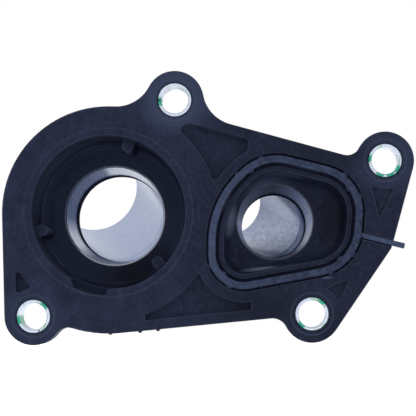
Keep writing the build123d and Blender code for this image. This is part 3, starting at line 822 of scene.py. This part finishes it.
rounded = add(nylon_tree, "ShaderNodeBevel", {"samples": 4}, Radius=EDGE_RADIUS * MM).outputs[0]
true = add(nylon_tree, "ShaderNodeNewGeometry").outputs["True Normal"]
same = add(nylon_tree, VECTOR_MATH, {"operation": "DOT_PRODUCT"}, _0=rounded, _1=true)
edge = inside(nylon_tree, same.outputs["Value"], *EDGE_LIMITS)
hard = inside(nylon_tree, from_small_bore, *SOFT_MOUTH)
# Painted highlight on every sharp edge, but not round the small bore's mouth
colour = lay(nylon_tree, colour, "#5f6986", edge, 0.6, hard)
print("edges rounded by", EDGE_RADIUS, "mm")

# %% [markdown]
# The dark line round each sleeve is painted shade in the gap between steel and plastic, and a fine
# pale ring outside it is a painted highlight.

# %% Rings round the sleeves
GAP_RADIUS = 5.95
LANDING_HIGHLIGHT_RADIUS = 6.85
LANDING_HIGHLIGHT_RING = [LANDING_HIGHLIGHT_RADIUS + step for step in (-0.4, -0.1, 0.1, 0.4)]
for out in from_sleeve.values():
    # Painted shade in the gap round the sleeve
    gap = inside(nylon_tree, out, GAP_RADIUS, GAP_RADIUS - EDGE_BLEND)
    colour = lay(nylon_tree, colour, "#0d1018", gap)
    # Painted highlight in a fine ring outside the gap
    colour = lay(nylon_tree, colour, "#3f4861", inside(nylon_tree, out, *LANDING_HIGHLIGHT_RING), 0.35)
print("rings round", len(from_sleeve), "sleeves")

# %% [markdown]
# A bore's wall is seen almost along its length, where any surface mirrors nearly all light. The
# socket Specular Tint sets how much, so the bands of painted reflection go there, and into the colour
# half and half with one polished colour. The edge of the main bore's mouth isn't polished at its
# lower right, and a painted highlight shows there as a pale line.

# %% Glass-filled nylon
BORE_POLISH = "#939cb0"
RING_STRENGTH = 0.35
MOUTH_EDGE_OUT = [MAIN_MOUTH_RADIUS + step for step in (-0.1, 0.05, 0.4, 0.55)]
MOUTH_EDGE_DEPTH = [POCKET_DEPTH + step for step in (-0.2, -0.1, 0.4, 0.6)]
LOWER_RIGHT = (0.73, 0.0, -0.68)
LOWER_RIGHT_LIMITS = (-2.0, 1.0)
FIBRE_SIZE = 0.45

polished = 0.0
tint = linear("#c9d2f4")
for mask, sheen in straight_bores:
    # Painted reflection: the bands with their rings go into the tint, and half into the colour
    banded_reflection = lay(nylon_tree, sheen, DULL, ringed, RING_STRENGTH)
    tint = lay(nylon_tree, tint, banded_reflection, mask)
    colour = lay(nylon_tree, colour, lay(nylon_tree, banded_reflection, BORE_POLISH, 0.5), mask)
    polished = add(nylon_tree, MATH, {"operation": "MAXIMUM"}, _0=mask, _1=polished).outputs[0]
for mask, bore_colour, sheen in leaning_bores:
    tint = lay(nylon_tree, tint, sheen, mask)
    colour = lay(nylon_tree, colour, bore_colour, mask)
    polished = add(nylon_tree, MATH, {"operation": "MAXIMUM"}, _0=mask, _1=polished).outputs[0]

rightward = add(nylon_tree, VECTOR_MATH, {"operation": "DOT_PRODUCT"}, _0=nylon_place, _1=LOWER_RIGHT)
# Pale line of painted highlight on the lower right of the main bore's mouth edge
mouth_edge_highlight = product(
    nylon_tree,
    inside(nylon_tree, from_pocket, *MOUTH_EDGE_OUT),
    inside(nylon_tree, nylon_depth, *MOUTH_EDGE_DEPTH),
    inside(nylon_tree, rightward.outputs["Value"], *LOWER_RIGHT_LIMITS),
)
polished = add(nylon_tree, MATH, {"operation": "SUBTRACT"}, _0=polished, _1=mouth_edge_highlight).outputs[0]
rough = add(nylon_tree, "ShaderNodeMapRange", Value=polished, To_Min=0.52, To_Max=0.26)
fibre = add(nylon_tree, NOISE, Vector=nylon_place, Scale=1.0 / FIBRE_SIZE, Detail=3.0).outputs["Fac"]
relief = add(
    nylon_tree, "ShaderNodeBump", Strength=0.35, Distance=0.05 * MM, Height=fibre, Normal=rounded
)
# The colour carries the painted highlight of the mouth edge, and the tint the painted reflection
end_material(
    nylon_tree,
    Base_Color=lay(nylon_tree, colour, "#cdd4e4", mouth_edge_highlight),
    Metallic=polished,
    Roughness=rough.outputs["Result"],
    IOR=1.53,
    Specular_IOR_Level=0.12,
    Specular_Tint=tint,
    Normal=relief.outputs["Normal"],
)
print("nylon nodes:", len(nylon_tree.nodes))

# %% [markdown]
# ## Sleeve finish: rolled steel, zinc plated
#
# Each bolt hole has a sleeve rolled from steel strip, so that the bolt clamps steel and not
# plastic. Zinc plating is a pale blue-white, and where its passivation is thick it turns green.
# The strip's rolling leaves fine lines along the sleeve, less than a tenth of a millimetre apart
# and drawn a little coarser so that they show.

# %% Zinc-plated steel
SLEEVE_INNER_RADIUS = 4.5
PLATING_PATCH_SIZE = 5.0
PLATING_TONES = [(0.0, "#b9c6dc"), (0.52, "#cfd8ea"), (0.62, "#9fc0ae"), (0.75, "#6f9a84")]
STAIN_LIMITS = (1.7, 1.1)
STAIN_BEARINGS = {
    "bolt_sleeve_upper_left": [187.0],
    "bolt_sleeve_upper_right": [175.0, -35.0, -70.0, -110.0],
    "bolt_sleeve_lower_right": [48.0, 225.0],
    "bolt_sleeve_lower_left": [45.0, 195.0],
}
ROLLING_SPACING = 0.25
ROLLING_STRETCH = (1.0, 0.05, 1.0)


def stain_point(middle, bearing):
    """Place on the inside of a sleeve at a bearing."""
    angle = math.radians(bearing)
    across = middle[0] + SLEEVE_INNER_RADIUS * math.cos(angle)
    return (across, 0.0, middle[2] + SLEEVE_INNER_RADIUS * math.sin(angle))


steel, steel_tree = fresh_material("zinc_plated_steel_rolled")
steel_place = millimetres(steel_tree)
patches = add(steel_tree, NOISE, Vector=steel_place, Scale=1.0 / PLATING_PATCH_SIZE, Detail=2.0)
plating = with_stops(add(steel_tree, "ShaderNodeValToRGB", Fac=patches.outputs["Fac"]), PLATING_TONES)
for name, bearings in STAIN_BEARINGS.items():
    for bearing in bearings:
        out = from_line(steel_tree, steel_place, stain_point(sleeve_middles[name], bearing))
        plating = lay(steel_tree, plating, "#1f9c80", inside(steel_tree, out, *STAIN_LIMITS), 0.95)
line_place = add(steel_tree, "ShaderNodeMapping", Vector=steel_place, Scale=ROLLING_STRETCH).outputs[0]
rolling = add(steel_tree, NOISE, Vector=line_place, Scale=1.0 / ROLLING_SPACING, Detail=2.0).outputs["Fac"]
satin = add(steel_tree, "ShaderNodeMapRange", Value=rolling, To_Min=0.25, To_Max=0.42)
relief = add(steel_tree, "ShaderNodeBump", Strength=0.2, Distance=0.02 * MM, Height=rolling)
end_material(
    steel_tree,
    Base_Color=plating,
    Metallic=1.0,
    Roughness=satin.outputs["Result"],
    Normal=relief.outputs["Normal"],
)
print("steel nodes:", len(steel_tree.nodes))

# %% [markdown]
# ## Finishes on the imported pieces
#
# The body and the sleeves keep their CAD shape, because it is right already. They only get their
# material, through the object's material slots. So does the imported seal, though the swept ring
# stands in for it.

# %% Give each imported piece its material
FINISHES = {"flange_body": nylon, "port_seal": rubber}
for name, node in nodes.items():
    for slot in node.material_slots:
        slot.link = "OBJECT"
        slot.material = FINISHES.get(name, steel)
print("steel pieces:", sorted(set(nodes) - set(FINISHES)))

# %% [markdown]
# ## The studio
#
# The part is held up by its mating face, above a plain pale floor, in front of a plain white
# background. Light Path tells which rays come from the camera or from a mirroring surface. Only
# those see the floor's own faint glow, so the glow adds no light to the dull parts of the object.

# %% Floor
FLOOR_HEIGHT = -0.12
FLOOR_SIZE = 6.0
PAPER_LIFT = 0.6

bpy.ops.mesh.primitive_plane_add(size=FLOOR_SIZE, location=(0.0, 0.0, FLOOR_HEIGHT))
floor = bpy.context.object
floor.name = "studio_floor"
paper, paper_tree = fresh_material("studio_paper_white")
rays = add(paper_tree, "ShaderNodeLightPath").outputs
seen = add(paper_tree, MATH, {"operation": "MAXIMUM"}, _0=rays["Is Camera Ray"], _1=rays["Is Glossy Ray"])
end_material(
    paper_tree,
    Base_Color=linear("#f4f4f4"),
    Roughness=0.9,
    Specular_IOR_Level=0.0,
    Emission_Color=WHITE,
    Emission_Strength=product(paper_tree, seen.outputs[0], PAPER_LIFT),
)
floor.data.materials.append(paper)
print("floor at", FLOOR_HEIGHT, "m")

# %% [markdown]
# The light is soft: a broad lamp above each side, and a weak even sky. The camera, and what mirrors
# in metal, sees a plain white background instead of that sky, again through Light Path.

# %% Sky and lamps
SKY_STRENGTH = 0.75
BACKGROUND_STRENGTH = 1.0
LAMP_SIZE = 0.5
LAMP_AIM = Vector((0.03, 0.0, 0.0))
LAMPS = {"lamp_left": ((-0.55, -0.55, 0.55), 1.6), "lamp_right": ((0.65, -0.45, 0.45), 0.8)}

world = bpy.data.worlds.new("studio_sky")
bpy.context.scene.world = world
world.use_nodes = True
sky = world.node_tree
sky.nodes.clear()
rays = add(sky, "ShaderNodeLightPath").outputs
direct = add(sky, MATH, {"operation": "MAXIMUM"}, _0=rays["Is Camera Ray"], _1=rays["Is Glossy Ray"])
direct = add(sky, MATH, {"operation": "MAXIMUM"}, _0=direct.outputs[0], _1=rays["Is Transmission Ray"])
even = add(sky, "ShaderNodeBackground", Color=WHITE, Strength=SKY_STRENGTH)
plain = add(sky, "ShaderNodeBackground", Color=WHITE, Strength=BACKGROUND_STRENGTH)
both = add(sky, "ShaderNodeMixShader", Fac=direct.outputs[0], _1=even.outputs[0], _2=plain.outputs[0])
add(sky, "ShaderNodeOutputWorld", Surface=both.outputs[0])

for name, (place, power) in LAMPS.items():
    light = bpy.data.lights.new(name, "AREA")
    light.size = LAMP_SIZE
    light.energy = power
    lamp = bpy.data.objects.new(name, light)
    lamp.location = place
    lamp.rotation_euler = (LAMP_AIM - Vector(place)).to_track_quat("-Z", "Y").to_euler()
    bpy.context.scene.collection.objects.link(lamp)
print("lamps:", list(LAMPS))

# %% [markdown]
# ## The camera
#
# The photograph was taken square onto the mating face from about half a metre, a little to the
# right of the picture's middle and below it. So the camera looks straight along Y, and a shift
# brings the part back into the frame, which keeps the face undistorted while the bores show the
# side that the camera's place lets it see.

# %% Camera
CAMERA_PLACE = (0.04882, -0.536, -0.02478)
PICTURE_WIDTH = 0.13645
PICTURE_MIDDLE = (0.03275, 0.00146)
SENSOR = 36.0
view = bpy.data.cameras.new("camera")
view.sensor_width = SENSOR
view.lens = SENSOR * abs(CAMERA_PLACE[1]) / PICTURE_WIDTH
view.shift_x = (PICTURE_MIDDLE[0] - CAMERA_PLACE[0]) / PICTURE_WIDTH
view.shift_y = (PICTURE_MIDDLE[1] - CAMERA_PLACE[2]) / PICTURE_WIDTH
camera = bpy.data.objects.new("camera", view)
camera.location = CAMERA_PLACE
camera.rotation_euler = (math.radians(90.0), 0.0, 0.0)
bpy.context.scene.collection.objects.link(camera)
bpy.context.scene.camera = camera
bpy.context.scene.view_settings.view_transform = "Standard"
print("lens", round(view.lens, 1), "mm, shift", round(view.shift_x, 3), round(view.shift_y, 3))
